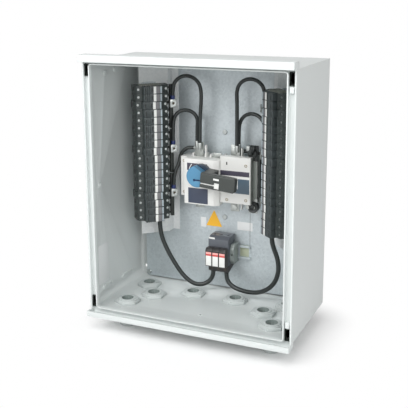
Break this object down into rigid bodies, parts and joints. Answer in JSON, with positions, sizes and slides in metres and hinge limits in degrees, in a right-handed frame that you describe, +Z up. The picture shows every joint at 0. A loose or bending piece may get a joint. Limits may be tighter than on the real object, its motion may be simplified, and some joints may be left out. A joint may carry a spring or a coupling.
{
  "type": "junction box",
  "caption": "Open-front string junction box: rows of hinged fuse holders in two angled banks, an isolator switch, a plug-in surge arrester, cables and floor glands in a hooded moulded case.",
  "frame": {"origin": "middle of the footprint, on the surface that the glands stand on", "axes": "+X to the right as seen from the open front, +Y into the box, +Z up"},
  "size_m": [0.5, 0.281, 0.66],
  "materials": {
    "grp": "fine satin moulding",
    "zinc": "zinc plated, dull",
    "block": "fine moulded grain",
    "black": "satin",
    "tin": "tin plated, satin",
    "isolator": "satin",
    "blue": "satin",
    "arrester": "satin",
    "grey": "satin",
    "rubber": "matt",
    "cable": "satin sheath"
  },
  "bodies": {
    "box": {"enclosure": "grp", "mounting_plate": "zinc", "plate_screws": "zinc", "bank_brackets": "zinc", "bank_rails": "zinc", "fuse_bases_left": "block", "fuse_bases_right": "block", "comb_busbars": "black", "feed_lugs": "tin", "isolator_base": "isolator", "isolator_housing": "isolator", "isolator_terminals": "tin", "arrester_rail": "zinc", "arrester_base": "arrester", "end_clamp": "grey", "gland_bodies": "grey", "gland_seals": "rubber", "gland_nuts": "grey", "cables": "cable"},
    "fuse_lever_left_01": {"fuse_lever_left_01": "block"},
    "fuse_lever_left_02": {"fuse_lever_left_02": "block"},
    "fuse_lever_left_03": {"fuse_lever_left_03": "block"},
    "fuse_lever_left_04": {"fuse_lever_left_04": "block"},
    "fuse_lever_left_05": {"fuse_lever_left_05": "block"},
    "fuse_lever_left_06": {"fuse_lever_left_06": "block"},
    "fuse_lever_left_07": {"fuse_lever_left_07": "block"},
    "fuse_lever_left_08": {"fuse_lever_left_08": "block"},
    "fuse_lever_left_09": {"fuse_lever_left_09": "block"},
    "fuse_lever_left_10": {"fuse_lever_left_10": "block"},
    "fuse_lever_left_11": {"fuse_lever_left_11": "block"},
    "fuse_lever_left_12": {"fuse_lever_left_12": "block"},
    "fuse_lever_left_13": {"fuse_lever_left_13": "block"},
    "fuse_lever_left_14": {"fuse_lever_left_14": "block"},
    "fuse_lever_left_15": {"fuse_lever_left_15": "block"},
    "fuse_lever_left_16": {"fuse_lever_left_16": "block"},
    "fuse_lever_left_17": {"fuse_lever_left_17": "block"},
    "fuse_lever_left_18": {"fuse_lever_left_18": "block"},
    "fuse_lever_right_01": {"fuse_lever_right_01": "block"},
    "fuse_lever_right_02": {"fuse_lever_right_02": "block"},
    "fuse_lever_right_03": {"fuse_lever_right_03": "block"},
    "fuse_lever_right_04": {"fuse_lever_right_04": "block"},
    "fuse_lever_right_05": {"fuse_lever_right_05": "block"},
    "fuse_lever_right_06": {"fuse_lever_right_06": "block"},
    "fuse_lever_right_07": {"fuse_lever_right_07": "block"},
    "fuse_lever_right_08": {"fuse_lever_right_08": "block"},
    "fuse_lever_right_09": {"fuse_lever_right_09": "block"},
    "fuse_lever_right_10": {"fuse_lever_right_10": "block"},
    "fuse_lever_right_11": {"fuse_lever_right_11": "block"},
    "fuse_lever_right_12": {"fuse_lever_right_12": "block"},
    "fuse_lever_right_13": {"fuse_lever_right_13": "block"},
    "fuse_lever_right_14": {"fuse_lever_right_14": "block"},
    "fuse_lever_right_15": {"fuse_lever_right_15": "block"},
    "fuse_lever_right_16": {"fuse_lever_right_16": "block"},
    "fuse_lever_right_17": {"fuse_lever_right_17": "block"},
    "fuse_lever_right_18": {"fuse_lever_right_18": "block"},
    "arrester_plug_1": {"arrester_plug_1": "arrester"},
    "arrester_plug_2": {"arrester_plug_2": "arrester"},
    "arrester_plug_3": {"arrester_plug_3": "arrester"},
    "handle": {"isolator_handle": "black", "isolator_hub": "blue"}
  },
  "joints": [
    {"name": "fuse_lever_left_01_hinge", "type": "hinge", "parent": "box", "child": "fuse_lever_left_01", "pos_m": [-0.13394, 0.02898, 0.56725], "axis": [0, 0, 1], "range_deg": [0, 80]},
    {"name": "fuse_lever_left_02_hinge", "type": "hinge", "parent": "box", "child": "fuse_lever_left_02", "pos_m": [-0.13394, 0.02898, 0.54875], "axis": [0, 0, 1], "range_deg": [0, 80]},
    {"name": "fuse_lever_left_03_hinge", "type": "hinge", "parent": "box", "child": "fuse_lever_left_03", "pos_m": [-0.13542, 0.02765, 0.53025], "axis": [0, 0, 1], "range_deg": [0, 80]},
    {"name": "fuse_lever_left_04_hinge", "type": "hinge", "parent": "box", "child": "fuse_lever_left_04", "pos_m": [-0.13394, 0.02898, 0.51175], "axis": [0, 0, 1], "range_deg": [0, 80]},
    {"name": "fuse_lever_left_05_hinge", "type": "hinge", "parent": "box", "child": "fuse_lever_left_05", "pos_m": [-0.13394, 0.02898, 0.49325], "axis": [0, 0, 1], "range_deg": [0, 80]},
    {"name": "fuse_lever_left_06_hinge", "type": "hinge", "parent": "box", "child": "fuse_lever_left_06", "pos_m": [-0.13394, 0.02898, 0.47475], "axis": [0, 0, 1], "range_deg": [0, 80]},
    {"name": "fuse_lever_left_07_hinge", "type": "hinge", "parent": "box", "child": "fuse_lever_left_07", "pos_m": [-0.13394, 0.02898, 0.45625], "axis": [0, 0, 1], "range_deg": [0, 80]},
    {"name": "fuse_lever_left_08_hinge", "type": "hinge", "parent": "box", "child": "fuse_lever_left_08", "pos_m": [-0.13394, 0.02898, 0.43775], "axis": [0, 0, 1], "range_deg": [0, 80]},
    {"name": "fuse_lever_left_09_hinge", "type": "hinge", "parent": "box", "child": "fuse_lever_left_09", "pos_m": [-0.13542, 0.02765, 0.41925], "axis": [0, 0, 1], "range_deg": [0, 80]},
    {"name": "fuse_lever_left_10_hinge", "type": "hinge", "parent": "box", "child": "fuse_lever_left_10", "pos_m": [-0.13394, 0.02898, 0.40075], "axis": [0, 0, 1], "range_deg": [0, 80]},
    {"name": "fuse_lever_left_11_hinge", "type": "hinge", "parent": "box", "child": "fuse_lever_left_11", "pos_m": [-0.13394, 0.02898, 0.38225], "axis": [0, 0, 1], "range_deg": [0, 80]},
    {"name": "fuse_lever_left_12_hinge", "type": "hinge", "parent": "box", "child": "fuse_lever_left_12", "pos_m": [-0.13394, 0.02898, 0.36375], "axis": [0, 0, 1], "range_deg": [0, 80]},
    {"name": "fuse_lever_left_13_hinge", "type": "hinge", "parent": "box", "child": "fuse_lever_left_13", "pos_m": [-0.13394, 0.02898, 0.34525], "axis": [0, 0, 1], "range_deg": [0, 80]},
    {"name": "fuse_lever_left_14_hinge", "type": "hinge", "parent": "box", "child": "fuse_lever_left_14", "pos_m": [-0.13394, 0.02898, 0.32675], "axis": [0, 0, 1], "range_deg": [0, 80]},
    {"name": "fuse_lever_left_15_hinge", "type": "hinge", "parent": "box", "child": "fuse_lever_left_15", "pos_m": [-0.13542, 0.02765, 0.30825], "axis": [0, 0, 1], "range_deg": [0, 80]},
    {"name": "fuse_lever_left_16_hinge", "type": "hinge", "parent": "box", "child": "fuse_lever_left_16", "pos_m": [-0.13394, 0.02898, 0.28975], "axis": [0, 0, 1], "range_deg": [0, 80]},
    {"name": "fuse_lever_left_17_hinge", "type": "hinge", "parent": "box", "child": "fuse_lever_left_17", "pos_m": [-0.13394, 0.02898, 0.27125], "axis": [0, 0, 1], "range_deg": [0, 80]},
    {"name": "fuse_lever_left_18_hinge", "type": "hinge", "parent": "box", "child": "fuse_lever_left_18", "pos_m": [-0.13394, 0.02898, 0.25275], "axis": [0, 0, 1], "range_deg": [0, 80]},
    {"name": "fuse_lever_right_01_hinge", "type": "hinge", "parent": "box", "child": "fuse_lever_right_01", "pos_m": [0.13394, 0.02898, 0.56725], "axis": [0, 0, -1], "range_deg": [0, 80]},
    {"name": "fuse_lever_right_02_hinge", "type": "hinge", "parent": "box", "child": "fuse_lever_right_02", "pos_m": [0.13394, 0.02898, 0.54875], "axis": [0, 0, -1], "range_deg": [0, 80]},
    {"name": "fuse_lever_right_03_hinge", "type": "hinge", "parent": "box", "child": "fuse_lever_right_03", "pos_m": [0.13542, 0.02765, 0.53025], "axis": [0, 0, -1], "range_deg": [0, 80]},
    {"name": "fuse_lever_right_04_hinge", "type": "hinge", "parent": "box", "child": "fuse_lever_right_04", "pos_m": [0.13394, 0.02898, 0.51175], "axis": [0, 0, -1], "range_deg": [0, 80]},
    {"name": "fuse_lever_right_05_hinge", "type": "hinge", "parent": "box", "child": "fuse_lever_right_05", "pos_m": [0.13394, 0.02898, 0.49325], "axis": [0, 0, -1], "range_deg": [0, 80]},
    {"name": "fuse_lever_right_06_hinge", "type": "hinge", "parent": "box", "child": "fuse_lever_right_06", "pos_m": [0.13394, 0.02898, 0.47475], "axis": [0, 0, -1], "range_deg": [0, 80]},
    {"name": "fuse_lever_right_07_hinge", "type": "hinge", "parent": "box", "child": "fuse_lever_right_07", "pos_m": [0.13394, 0.02898, 0.45625], "axis": [0, 0, -1], "range_deg": [0, 80]},
    {"name": "fuse_lever_right_08_hinge", "type": "hinge", "parent": "box", "child": "fuse_lever_right_08", "pos_m": [0.13394, 0.02898, 0.43775], "axis": [0, 0, -1], "range_deg": [0, 80]},
    {"name": "fuse_lever_right_09_hinge", "type": "hinge", "parent": "box", "child": "fuse_lever_right_09", "pos_m": [0.13542, 0.02765, 0.41925], "axis": [0, 0, -1], "range_deg": [0, 80]},
    {"name": "fuse_lever_right_10_hinge", "type": "hinge", "parent": "box", "child": "fuse_lever_right_10", "pos_m": [0.13394, 0.02898, 0.40075], "axis": [0, 0, -1], "range_deg": [0, 80]},
    {"name": "fuse_lever_right_11_hinge", "type": "hinge", "parent": "box", "child": "fuse_lever_right_11", "pos_m": [0.13394, 0.02898, 0.38225], "axis": [0, 0, -1], "range_deg": [0, 80]},
    {"name": "fuse_lever_right_12_hinge", "type": "hinge", "parent": "box", "child": "fuse_lever_right_12", "pos_m": [0.13394, 0.02898, 0.36375], "axis": [0, 0, -1], "range_deg": [0, 80]},
    {"name": "fuse_lever_right_13_hinge", "type": "hinge", "parent": "box", "child": "fuse_lever_right_13", "pos_m": [0.13394, 0.02898, 0.34525], "axis": [0, 0, -1], "range_deg": [0, 80]},
    {"name": "fuse_lever_right_14_hinge", "type": "hinge", "parent": "box", "child": "fuse_lever_right_14", "pos_m": [0.13394, 0.02898, 0.32675], "axis": [0, 0, -1], "range_deg": [0, 80]},
    {"name": "fuse_lever_right_15_hinge", "type": "hinge", "parent": "box", "child": "fuse_lever_right_15", "pos_m": [0.13542, 0.02765, 0.30825], "axis": [0, 0, -1], "range_deg": [0, 80]},
    {"name": "fuse_lever_right_16_hinge", "type": "hinge", "parent": "box", "child": "fuse_lever_right_16", "pos_m": [0.13394, 0.02898, 0.28975], "axis": [0, 0, -1], "range_deg": [0, 80]},
    {"name": "fuse_lever_right_17_hinge", "type": "hinge", "parent": "box", "child": "fuse_lever_right_17", "pos_m": [0.13394, 0.02898, 0.27125], "axis": [0, 0, -1], "range_deg": [0, 80]},
    {"name": "fuse_lever_right_18_hinge", "type": "hinge", "parent": "box", "child": "fuse_lever_right_18", "pos_m": [0.13394, 0.02898, 0.25275], "axis": [0, 0, -1], "range_deg": [0, 80]},
    {"name": "arrester_plug_1_slide", "type": "slide", "parent": "box", "child": "arrester_plug_1", "axis": [0, -1, 0], "range_m": [0, 0.035]},
    {"name": "arrester_plug_2_slide", "type": "slide", "parent": "box", "child": "arrester_plug_2", "axis": [0, -1, 0], "range_m": [0, 0.035]},
    {"name": "arrester_plug_3_slide", "type": "slide", "parent": "box", "child": "arrester_plug_3", "axis": [0, -1, 0], "range_m": [0, 0.035]},
    {"name": "handle_turn", "type": "hinge", "parent": "box", "child": "handle", "pos_m": [-0.033, 0.035, 0.366], "axis": [0, -1, 0], "range_deg": [0, 90]}
  ]
}
